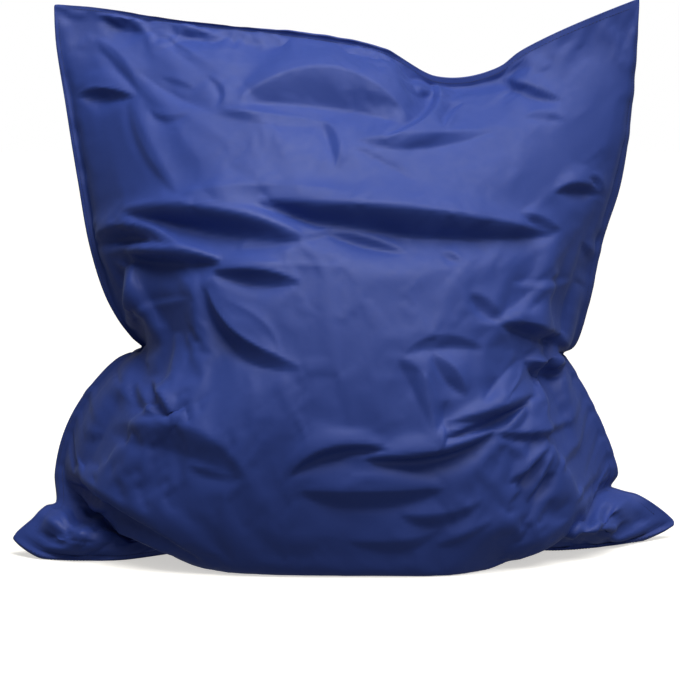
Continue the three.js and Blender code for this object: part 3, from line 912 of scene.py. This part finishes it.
def slackened(cloth, panels):
    """A little more cloth than the filling needs wrinkles by itself, mostly beside the seams."""
    rim = rim_of(panels["front"].shape[:2])
    middle = (panels["front"][rim] + panels["back"][rim]) / 2
    panels["front"][rim] = middle
    panels["back"][rim] = middle
    mesh, kept_order = slack_cloth(cloth, panels)
    panel_number, corner_number = kept_order // rim.size, kept_order % rim.size
    moved = settled_moves(cloth, mesh, rim.ravel()[corner_number])

    change = {name: np.zeros(rim.shape + (3,)) for name in PANELS}
    for k, name in enumerate(PANELS):
        mine = panel_number == k
        change[name].reshape(-1, 3)[corner_number[mine]] = moved[mine]
    change["back"][rim] = change["front"][rim]

    across, along = sim_lines(cloth)
    near_side = smoothstep(np.abs(across), WRINKLES_START, WRINKLES_FULL)
    near_side = near_side * (1 - smoothstep(along, *SMOOTH_ABOVE))
    near_end = smoothstep(np.abs(along - CLOTH_LENGTH / 2), *WRINKLES_NEAR_END)
    share = WRINKLE_SHARE + (1 - WRINKLE_SHARE) * np.maximum(near_side, near_end)
    for name in PANELS:
        wrinkles = change[name] - blurred(change[name], SWELL_CELLS)
        size = np.linalg.norm(wrinkles, axis=-1, keepdims=True)
        wrinkles = wrinkles * np.tanh(size / WRINKLE_CAP) * WRINKLE_CAP / (size + TINY)
        panels[name] = panels[name] + wrinkles * share[..., None]
    return panels


def with_middles(lines):
    """Grid lines with one more halfway between each two."""
    middles = (lines[1:] + lines[:-1]) / 2
    return np.append(np.stack([lines[:-1], middles], axis=1).ravel(), lines[-1])


def final_lines(cloth):
    """Grid lines of the finished panels, the stitched edge included."""
    across = np.linspace(-INNER, INNER, cloth.columns * cloth.fineness + 1)
    along = np.linspace(EDGE_WIDTH, INNER_TOP, cloth.rows * cloth.fineness + 1)
    out = np.array(STRIP_LINES) * EDGE_WIDTH
    side = out / HALF_WIDTH
    across = np.concatenate([-INNER - side[::-1], across, INNER + side])
    along = np.concatenate([EDGE_WIDTH - out[::-1], along, INNER_TOP + out])
    return with_middles(across), with_middles(along)


def rim_place(across, along):
    """The nearest place on the rim, clockwise from the bottom left corner, and how far it is."""
    u = across * HALF_WIDTH
    from_left, from_right = HALF_WIDTH + u, HALF_WIDTH - u
    from_bottom, from_top = along, CLOTH_LENGTH - along
    nearest = np.minimum(np.minimum(from_left, from_right), np.minimum(from_bottom, from_top))
    place = np.where(nearest == from_left, along, 0.0)
    place = np.where(nearest == from_top, CLOTH_LENGTH + u + HALF_WIDTH, place)
    right = 2 * HALF_WIDTH + 2 * CLOTH_LENGTH - along
    place = np.where(nearest == from_right, right, place)
    bottom = 2 * CLOTH_LENGTH + 3 * HALF_WIDTH - u
    return np.where(nearest == from_bottom, bottom, place), nearest


def blunt(across, along):
    """The corners are turned in before they are stitched, so their tips are rounded."""
    u = (np.abs(across) - 1) * HALF_WIDTH + TIP_RADIUS
    end = np.where(along < CLOTH_LENGTH / 2, along, CLOTH_LENGTH - along)
    v = TIP_RADIUS - end
    inside = (u > 0) & (v > 0)
    size = np.hypot(u, v)
    square = np.maximum(u, v)
    scale = np.where(inside, square / np.maximum(size, TINY), 1.0)
    u, v = u * scale, v * scale
    new_across = np.sign(across) * (1 + (u - TIP_RADIUS) / HALF_WIDTH)
    new_end = TIP_RADIUS - v
    new_along = np.where(along < CLOTH_LENGTH / 2, new_end, CLOTH_LENGTH - new_end)
    return np.where(inside, new_across, across), np.where(inside, new_along, along)


def turned_back(across, along):
    """How far the stitched edge turns back at its rim: at the right, lower left and top."""
    at_rim = smoothstep(np.abs(across), INNER, 1)
    upright = smoothstep(along, *TURN_STARTS) * (1 - smoothstep(along, *TURN_ENDS))
    lower = 1 - smoothstep(along, *LEFT_TURN_ENDS)
    sides = at_rim * upright * np.where(across > 0, TURNED_RIGHT, TURNED_LEFT * lower)
    at_top = smoothstep(along, INNER_TOP, CLOTH_LENGTH)
    left_of_dip = smoothstep(across, *TOP_TURN_STARTS) * (1 - smoothstep(across, *TOP_TURN_ENDS))
    return sides + at_top * left_of_dip * TURNED_TOP


def finished_panel(name, cloth, posed):
    """The fine grid of a panel: simulated cloth, listed creases and the stitched edge."""
    panel = PANELS[name]
    across, along = final_lines(cloth)
    column = (np.clip(across, -INNER, INNER) + INNER) / (2 * INNER) * cloth.columns
    length = CLOTH_LENGTH - 2 * EDGE_WIDTH
    row = (np.clip(along, EDGE_WIDTH, INNER_TOP) - EDGE_WIDTH) / length * cloth.rows
    points = sampled(posed, row, column)

    across, along = np.meshgrid(across, along)
    held_across = np.clip(across, -INNER, INNER)
    held_along = np.clip(along, EDGE_WIDTH, INNER_TOP)
    round_across, round_along = blunt(across, along)
    edge = middle_surface(round_across, round_along) - middle_surface(held_across, held_along)
    points = points + edge
    points[..., 1] += turned_back(across, along)

    x, z = points[..., 0] + BASE_MIDDLE[0], points[..., 2]
    normals = grid_normals(points, panel["outward"])
    lift = fold_lift(panel["folds"], x, z, sharp_profile) * panel["sharp_share"]
    lift = lift * fold_strength(across, along, CREASE_EDGE_FADE)
    fine = fold_lift(panel["creases"], x, z, sharp_profile) * cloth.crease_depth
    off_end = np.minimum(along, CLOTH_LENGTH - along)
    off_seam = np.minimum((1 - np.abs(across)) * HALF_WIDTH, off_end)
    lift = lift + fine * smoothstep(off_seam - EDGE_WIDTH, 0, CREASE_EDGE_FADE)

    place, from_rim = rim_place(across, along)
    around = 2 * (CLOTH_LENGTH + 2 * HALF_WIDTH)
    together = wavering(place, around, GATHER_LENGTH, EDGE_SEED) * panel["outward"]
    alone = wavering(place, around, GATHER_LENGTH, panel["seed"])
    small = wavering(place, around, SMALL_GATHER_LENGTH, EDGE_SEED + 1)
    alone = alone + SMALL_GATHER_SHARE * small
    gather = together + (alone - together) * smoothstep(from_rim, EDGE_WIDTH, 2 * EDGE_WIDTH)
    off_edge = np.abs(from_rim - EDGE_WIDTH)
    lift = lift + cloth.pucker * gather * np.exp(-off_edge / PUCKER_REACH)

    on_strip = smoothstep(from_rim, 0, RIM_ROUNDING)
    half_thick = EDGE_THICKNESS / 2 * np.sqrt(on_strip)
    groove = sum(np.exp(-(((from_rim - row) / GROOVE_WIDTH) ** 2)) for row in STITCH_ROWS)
    lift = lift + half_thick - GROOVE_DEPTH * groove
    lift = np.where(from_rim <= 0, 0.0, lift)
    points = points + normals * lift[..., None]
    points[..., 2] = np.maximum(points[..., 2], THREAD_ROOM)
    normals = blurred(grid_normals(points, panel["outward"]), NORMAL_BLUR)
    return [grid[::2, ::2] for grid in (points, normals, across, along)]


def sewn_bag(finished):
    """Both finished panels welded at the rim into one closed mesh with the cloth's own UV."""
    rows, columns = finished["front"][0].shape[:2]
    rim = rim_of((rows, columns))
    middle = (finished["front"][0][rim] + finished["back"][0][rim]) / 2
    rim_normals = finished["front"][1][rim] + finished["back"][1][rim]
    bm = bmesh.new()
    cloth_uv = bm.loops.layers.uv.new("cloth")
    facing = bm.verts.layers.float_vector.new("facing")
    for name in PANELS:
        points, normals, across, along = finished[name]
        points[rim] = middle
        normals[rim] = rim_normals
        corners = panel_grid(bm, columns - 1, rows - 1, points)
        for corner, normal in zip(corners, normals.reshape(-1, 3)):
            corner[facing] = normal
        u = (across * HALF_WIDTH).ravel().tolist()
        v = along.ravel().tolist()
        for i, corner in enumerate(corners):
            for loop in corner.link_loops:
                loop[cloth_uv].uv = (u[i], v[i])
    bmesh.ops.remove_doubles(bm, verts=bm.verts, dist=WELD)
    bmesh.ops.recalc_face_normals(bm, faces=bm.faces)
    for face in bm.faces:
        face.smooth = True
    facings = [corner[facing].normalized() for corner in bm.verts]
    bm.verts.layers.float_vector.remove(facing)
    mesh = mesh_from(bm, "bean bag")
    mesh.normals_split_custom_set_from_vertices(facings)
    return mesh


def stitch_paths(finished):
    """The four straight runs of each row of stitches, as places and normals on the cloth."""
    points, normals, across, along = finished
    across, along = across[0], along[:, 0]
    step = STITCH_PITCH / RINGS_PER_STITCH
    for inset in STITCH_ROWS:
        low_u, high_u = -1 + inset / HALF_WIDTH, 1 - inset / HALF_WIDTH
        low_v, high_v = inset, CLOTH_LENGTH - inset
        long_side = np.arange(low_v + TIP_RADIUS, high_v - TIP_RADIUS, step)
        reach = 1 - (inset + TIP_RADIUS) / HALF_WIDTH
        short_side = np.arange(-reach, reach, step / HALF_WIDTH)
        runs = ((low_u, long_side), (high_u, long_side), (short_side, low_v), (short_side, high_v))
        for u, v in runs:
            column = np.interp(np.atleast_1d(u), across, np.arange(len(across)))
            row = np.interp(np.atleast_1d(v), along, np.arange(len(along)))
            place = sampled(points, row, column).reshape(-1, 3)
            normal = sampled(normals, row, column).reshape(-1, 3)
            yield place, normal


def lay_thread(bm, places, normals):
    """One thread along a row of places, which dips into the cloth between its stitches."""
    count = len(places)
    runs = np.gradient(places, axis=0)
    sides = np.cross(normals, runs)
    sides = sides / (np.linalg.norm(sides, axis=1, keepdims=True) + TINY)
    height = np.resize(THREAD_HEIGHTS, count)
    height[[0, -1]] = THREAD_HEIGHTS[0]
    radius = np.full(count, THREAD_RADIUS)
    radius[[0, -1]] = 0
    angles = np.arange(THREAD_SIDES + 1) * 2 * math.pi / THREAD_SIDES
    round_side = np.cos(angles)[None, :, None] * sides[:, None]
    round_up = np.sin(angles)[None, :, None] * normals[:, None]
    middle = places + normals * height[:, None]
    points = middle[:, None] + (round_side + round_up) * radius[:, None, None]
    corners = panel_grid(bm, THREAD_SIDES, count - 1, points)
    bmesh.ops.remove_doubles(bm, verts=corners, dist=THREAD_WELD)


# Materials


def add_node(tree, kind, place, **inputs):
    """A shader node at a place in the editor, with values for its sockets."""
    node = tree.nodes.new(kind)
    node.location = place
    for name, value in inputs.items():
        node.inputs[name.replace("_", " ")].default_value = value
    return node


def noise_node(tree, place, coordinates, scale, detail, roughness=0.5):
    """A noise texture on the given coordinates."""
    noise = add_node(
        tree, "ShaderNodeTexNoise", place, Scale=scale, Detail=detail, Roughness=roughness
    )
    tree.links.new(coordinates, noise.inputs["Vector"])
    return noise


def spread(tree, place, value, between, over):
    """Spreads a value between two limits over another pair of limits."""
    low, high = between
    out_low, out_high = over
    node = add_node(
        tree, "ShaderNodeMapRange", place, From_Min=low, From_Max=high, To_Min=out_low, To_Max=out_high
    )
    tree.links.new(value, node.inputs["Value"])
    return node.outputs["Result"]


def bump_node(tree, place, height, distance, strength, normal=None):
    """A bump over the normal that is given, or over the bare surface."""
    bump = add_node(tree, "ShaderNodeBump", place, Strength=strength, Distance=distance)
    tree.links.new(height, bump.inputs["Height"])
    if normal is not None:
        tree.links.new(normal, bump.inputs["Normal"])
    return bump.outputs["Normal"]


def new_material(name):
    """A material, its node tree and its shader."""
    material = bpy.data.materials.new(name)
    material.use_nodes = True
    return material, material.node_tree, material.node_tree.nodes["Principled BSDF"]


def mottled(tree, shader, share, first, second):
    """Mixes two colours into the shader's base colour."""
    tone = tree.nodes.new("ShaderNodeMix")
    tone.data_type = "RGBA"
    tone.location = (-350, 500)
    tone.inputs["A"].default_value = first
    tone.inputs["B"].default_value = second
    tree.links.new(share, tone.inputs["Factor"])
    tree.links.new(tone.outputs["Result"], shader.inputs["Base Color"])


def darker(colour, share):
    """A colour with each part of it brought down to a share."""
    return (*(value * share for value in colour[:3]), 1)


def nylon(cloth):
    """Slick coated nylon: a fine plain weave, small wrinkles, a soft gloss and a blue sheen."""
    material, tree, shader = new_material("slick nylon")
    places = add_node(tree, "ShaderNodeTexCoord", (-1400, 0))
    in_room, on_cloth = places.outputs["Object"], places.outputs["UV"]

    blotches = noise_node(tree, (-900, 500), in_room, BLOTCHES, detail=3)
    share = spread(tree, (-650, 500), blotches.outputs["Fac"], NOISE_RANGE, BLOTCH_SHARES)
    mottled(tree, shader, share, cloth.shade_colour, cloth.cloth_colour)
    grain = noise_node(tree, (-900, 300), in_room, GRAIN, detail=2, roughness=0.6)
    gloss = (cloth.gloss_low, cloth.gloss_high)
    rough = spread(tree, (-650, 300), grain.outputs["Fac"], NOISE_RANGE, gloss)
    tree.links.new(rough, shader.inputs["Roughness"])

    heights = []
    for direction, y in (("X", -100), ("Y", -350)):
        scale = WAVE_UNIT / cloth.weave_pitch
        wave = add_node(tree, "ShaderNodeTexWave", (-900, y), Scale=scale, Distortion=0.4)
        wave.bands_direction = direction
        tree.links.new(on_cloth, wave.inputs["Vector"])
        heights.append(wave.outputs["Fac"])
    weave = add_node(tree, "ShaderNodeMath", (-650, -200))
    tree.links.new(heights[0], weave.inputs[0])
    tree.links.new(heights[1], weave.inputs[1])
    creased = noise_node(tree, (-900, -600), in_room, CRUMPLES, detail=4, roughness=0.55)
    creased.noise_type = "RIDGED_MULTIFRACTAL"
    creased.inputs["Distortion"].default_value = 0.6
    soft = noise_node(tree, (-900, -850), in_room, RIPPLES, detail=3)
    normal = None
    for y, height, distance, strength in (
        (-850, soft.outputs["Fac"], RIPPLE_HEIGHT, 0.35),
        (-600, creased.outputs["Fac"], CRUMPLE_HEIGHT, cloth.crumple),
        (-200, weave.outputs["Value"], WEAVE_HEIGHT, 0.25),
    ):
        normal = bump_node(tree, (-350, y), height, distance, strength, normal)
    tree.links.new(normal, shader.inputs["Normal"])
    shader.inputs["Specular IOR Level"].default_value = SPECULAR
    shader.inputs["Sheen Weight"].default_value = SHEEN
    shader.inputs["Sheen Roughness"].default_value = SHEEN_ROUGHNESS
    shader.inputs["Sheen Tint"].default_value = SHEEN_TINT
    return material


def thread_material(stitches):
    """Twisted polyester thread with a soft gloss."""
    material, tree, shader = new_material("sewing thread")
    places = add_node(tree, "ShaderNodeTexCoord", (-900, 0))
    noise = noise_node(tree, (-700, 0), places.outputs["Object"], THREAD_FIBRES, detail=2)
    fibres = noise.outputs["Fac"]
    mottled(tree, shader, fibres, darker(stitches.thread_colour, THREAD_SHADE), stitches.thread_colour)
    normal = bump_node(tree, (-350, -200), fibres, FIBRE_HEIGHT, strength=0.5)
    tree.links.new(normal, shader.inputs["Normal"])
    shader.inputs["Roughness"].default_value = THREAD_ROUGHNESS
    return material


def floor_material(stage):
    """Matt pale studio paper, lit a little from below."""
    material, tree, shader = new_material("studio paper")
    places = add_node(tree, "ShaderNodeTexCoord", (-900, 0))
    noise = noise_node(tree, (-700, 0), places.outputs["Object"], PAPER_CLOUDS, detail=2)
    clouds = noise.outputs["Fac"]
    mottled(tree, shader, clouds, darker(stage.floor_colour, PAPER_SHADE), stage.floor_colour)
    shader.inputs["Roughness"].default_value = PAPER_ROUGHNESS
    shader.inputs["Specular IOR Level"].default_value = PAPER_SPECULAR
    shader.inputs["Emission Color"].default_value = stage.floor_colour
    shader.inputs["Emission Strength"].default_value = stage.floor_glow
    return material


def white_studio(stage):
    """White surroundings that light the bag less than they show, as a backdrop does."""
    world = bpy.data.worlds.new("white studio")
    world.use_nodes = True
    tree = world.node_tree
    background = tree.nodes["Background"]
    background.location = (0, 0)
    background.inputs["Color"].default_value = (1, 1, 1, 1)
    ray = add_node(tree, "ShaderNodeLightPath", (-600, 0))
    seen = ray.outputs["Is Camera Ray"]
    brightness = (stage.fill_light, stage.backdrop)
    strength = spread(tree, (-300, 0), seen, (0, 1), brightness)
    tree.links.new(strength, background.inputs["Strength"])
    return world


# Settings that a user would change


FACTOR = {"min": 0, "max": 1, "subtype": "FACTOR"}
LENGTH = {"subtype": "DISTANCE", "unit": "LENGTH"}
COLOUR = {"size": 4, "min": 0, "max": 1, "subtype": "COLOR"}


class BeanBagCloth(bpy.types.PropertyGroup):
    columns: IntProperty(
        name="Columns", description="Cells across each panel while the cloth is simulated",
        default=92, min=20,
    )
    rows: IntProperty(
        name="Rows", description="Cells along each panel while the cloth is simulated",
        default=118, min=20,
    )
    fineness: IntProperty(
        name="Fineness", description="Finished cells for each simulated cell, each way",
        default=2, min=1, max=4,
    )
    frames: IntProperty(name="Frames", description="Steps of the cloth simulation", default=24, min=2)
    slack: FloatProperty(
        name="Slack", description="Share by which the cloth is larger than its filling needs",
        default=0.025, **FACTOR,
    )
    pressure: FloatProperty(
        name="Pressure", description="How hard the filling presses outwards in the simulation",
        default=3.0, min=0,
    )
    hold: FloatProperty(
        name="Hold", description="How firmly the filling keeps the cloth in its main shape",
        default=0.12, **FACTOR,
    )
    stiffness: FloatProperty(
        name="Stiffness", description="How strongly the cloth resists bending",
        default=0.5, min=0,
    )
    crease_depth: FloatProperty(
        name="Crease depth", description="Depth of the fine creases, 1 as in the tables",
        default=1.0, min=0, max=2,
    )
    pucker: FloatProperty(
        name="Pucker", description="Height of the small gathers beside the stitched edge",
        default=0.003, min=0, **LENGTH,
    )
    cloth_colour: FloatVectorProperty(
        name="Cloth colour", description="Colour of the nylon",
        default=(0.025, 0.056, 0.280, 1), **COLOUR,
    )
    shade_colour: FloatVectorProperty(
        name="Darker cloth colour", description="Colour where the dye has taken more",
        default=(0.020, 0.046, 0.238, 1), **COLOUR,
    )
    gloss_low: FloatProperty(
        name="Least roughness", description="Roughness of the coating where it is slickest",
        default=0.50, **FACTOR,
    )
    gloss_high: FloatProperty(
        name="Most roughness", description="Roughness of the coating where it is dullest",
        default=0.60, **FACTOR,
    )
    crumple: FloatProperty(
        name="Crumple", description="Strength of the smallest wrinkles",
        default=0.18, **FACTOR,
    )
    weave_pitch: FloatProperty(
        name="Weave pitch", description="Distance between two yarns",
        default=0.0012, min=0.0002, **LENGTH,
    )


class BeanBagStitches(bpy.types.PropertyGroup):
    thread_colour: FloatVectorProperty(
        name="Thread colour", description="Colour of the sewing thread",
        default=(0.020, 0.033, 0.125, 1), **COLOUR,
    )


class BeanBagStage(bpy.types.PropertyGroup):
    floor_colour: FloatVectorProperty(
        name="Floor colour", description="Colour of the studio floor",
        default=(0.88, 0.86, 0.81, 1), **COLOUR,
    )
    main_light: FloatProperty(
        name="Main light", description="Strength of the soft light overhead",
        default=1.7, min=0,
    )
    light_spread: FloatProperty(
        name="Light spread", description="How wide the light overhead looks from the bag",
        default=math.radians(45), min=0, subtype="ANGLE", unit="ROTATION",
    )
    softbox: FloatProperty(
        name="Softboxes", description="Power of both softboxes together",
        default=37.0, min=0, subtype="POWER", unit="POWER",
    )
    floor_glow: FloatProperty(
        name="Floor glow", description="How brightly the floor is lit from below",
        default=0.62, min=0,
    )
    fill_light: FloatProperty(
        name="Fill light", description="Brightness of the surroundings, as they light the bag",
        default=0.17, min=0,
    )
    backdrop: FloatProperty(
        name="Backdrop", description="Brightness of the surroundings, as the camera shows them",
        default=1.0, min=0,
    )


class BEANBAG_OT_bag(bpy.types.Operator):
    """Make the bag: two creased nylon panels with a stitched edge"""

    bl_idname = "beanbag.bag"
    bl_label = "Make the bag"
    bl_options = {"REGISTER", "UNDO"}

    def execute(self, context):
        cloth = context.scene.bean_bag_cloth
        across, along = sim_lines(cloth)
        posed = {name: posed_panel(name, across, along) for name in PANELS}
        posed = slackened(cloth, posed)
        finished = {name: finished_panel(name, cloth, posed[name]) for name in PANELS}
        FINISHED.update(finished)
        bag = new_object("bean_bag", sewn_bag(finished))
        bag.data.materials.append(nylon(cloth))
        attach(bag, "root")
        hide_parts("bag")
        return {"FINISHED"}


class BEANBAG_OT_stitches(bpy.types.Operator):
    """Sew both rows of stitches along the edge, front and back"""

    bl_idname = "beanbag.stitches"
    bl_label = "Sew the edge"
    bl_options = {"REGISTER", "UNDO"}

    def execute(self, context):
        if not FINISHED:
            raise RuntimeError("the bag has to be made before its stitches")
        bm = bmesh.new()
        for name in PANELS:
            for places, normals in stitch_paths(FINISHED[name]):
                lay_thread(bm, places, normals)
        mesh = mesh_from(bm, "stitches")
        stitches = new_object("edge_stitches", mesh)
        mesh.materials.append(thread_material(context.scene.bean_bag_stitches))
        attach(stitches, "root")
        return {"FINISHED"}


class BEANBAG_OT_stage(bpy.types.Operator):
    """Set up the pale floor, the soft light and the camera"""

    bl_idname = "beanbag.stage"
    bl_label = "Set up the studio"
    bl_options = {"REGISTER", "UNDO"}

    def execute(self, context):
        stage = context.scene.bean_bag_stage
        bm = bmesh.new()
        bmesh.ops.create_circle(bm, cap_ends=True, segments=FLOOR_SIDES, radius=FLOOR_RADIUS)
        mesh = mesh_from(bm, "floor")
        floor = new_object("studio_floor", mesh)
        mesh.materials.append(floor_material(stage))
        floor.visible_diffuse = False  # the glowing floor throws no light on the bag
        floor.visible_glossy = False

        context.scene.world = white_studio(stage)
        light = bpy.data.lights.new("overhead light", "SUN")
        light.angle = stage.light_spread
        light.energy = stage.main_light
        aimed("overhead_light", light, -Vector(LIGHT_FROM))
        for place, aim, size, share in SOFTBOXES:
            softbox = bpy.data.lights.new("softbox", "AREA")
            softbox.size = size
            softbox.energy = stage.softbox * share
            aimed("softbox", softbox, Vector(aim) - Vector(place)).location = place

        eye = bpy.data.cameras.new("photo camera")
        eye.lens = LENS
        eye.sensor_width = SENSOR
        camera = new_object("photo_camera", eye)
        camera.location = CAMERA_PLACE
        camera.rotation_euler = (math.radians(90 - CAMERA_DROP), 0, 0)
        context.scene.camera = camera
        context.scene.view_settings.view_transform = "Standard"
        return {"FINISHED"}


class BEANBAG_PT_panel(bpy.types.Panel):
    bl_idname = "BEANBAG_PT_panel"
    bl_label = "Bean bag"
    bl_space_type = "VIEW_3D"
    bl_region_type = "UI"
    bl_category = "Bean bag"

    def draw(self, context):
        layout = self.layout
        groups = (
            (BEANBAG_OT_bag, context.scene.bean_bag_cloth),
            (BEANBAG_OT_stitches, context.scene.bean_bag_stitches),
            (BEANBAG_OT_stage, context.scene.bean_bag_stage),
        )
        for operator, settings in groups:
            box = layout.box()
            for name in settings.__annotations__:
                box.prop(settings, name)
            box.operator(operator.bl_idname)


CLASSES = (
    BeanBagCloth,
    BeanBagStitches,
    BeanBagStage,
    BEANBAG_OT_bag,
    BEANBAG_OT_stitches,
    BEANBAG_OT_stage,
    BEANBAG_PT_panel,
)


def register():
    for item in CLASSES:
        bpy.utils.register_class(item)
    bpy.types.Scene.bean_bag_cloth = PointerProperty(type=BeanBagCloth)
    bpy.types.Scene.bean_bag_stitches = PointerProperty(type=BeanBagStitches)
    bpy.types.Scene.bean_bag_stage = PointerProperty(type=BeanBagStage)


def unregister():
    del bpy.types.Scene.bean_bag_stage
    del bpy.types.Scene.bean_bag_stitches
    del bpy.types.Scene.bean_bag_cloth
    for item in reversed(CLASSES):
        bpy.utils.unregister_class(item)


def main():
    register()
    bpy.ops.beanbag.bag()
    bpy.ops.beanbag.stitches()
    bpy.ops.beanbag.stage()


if __name__ == "__main__":
    main()
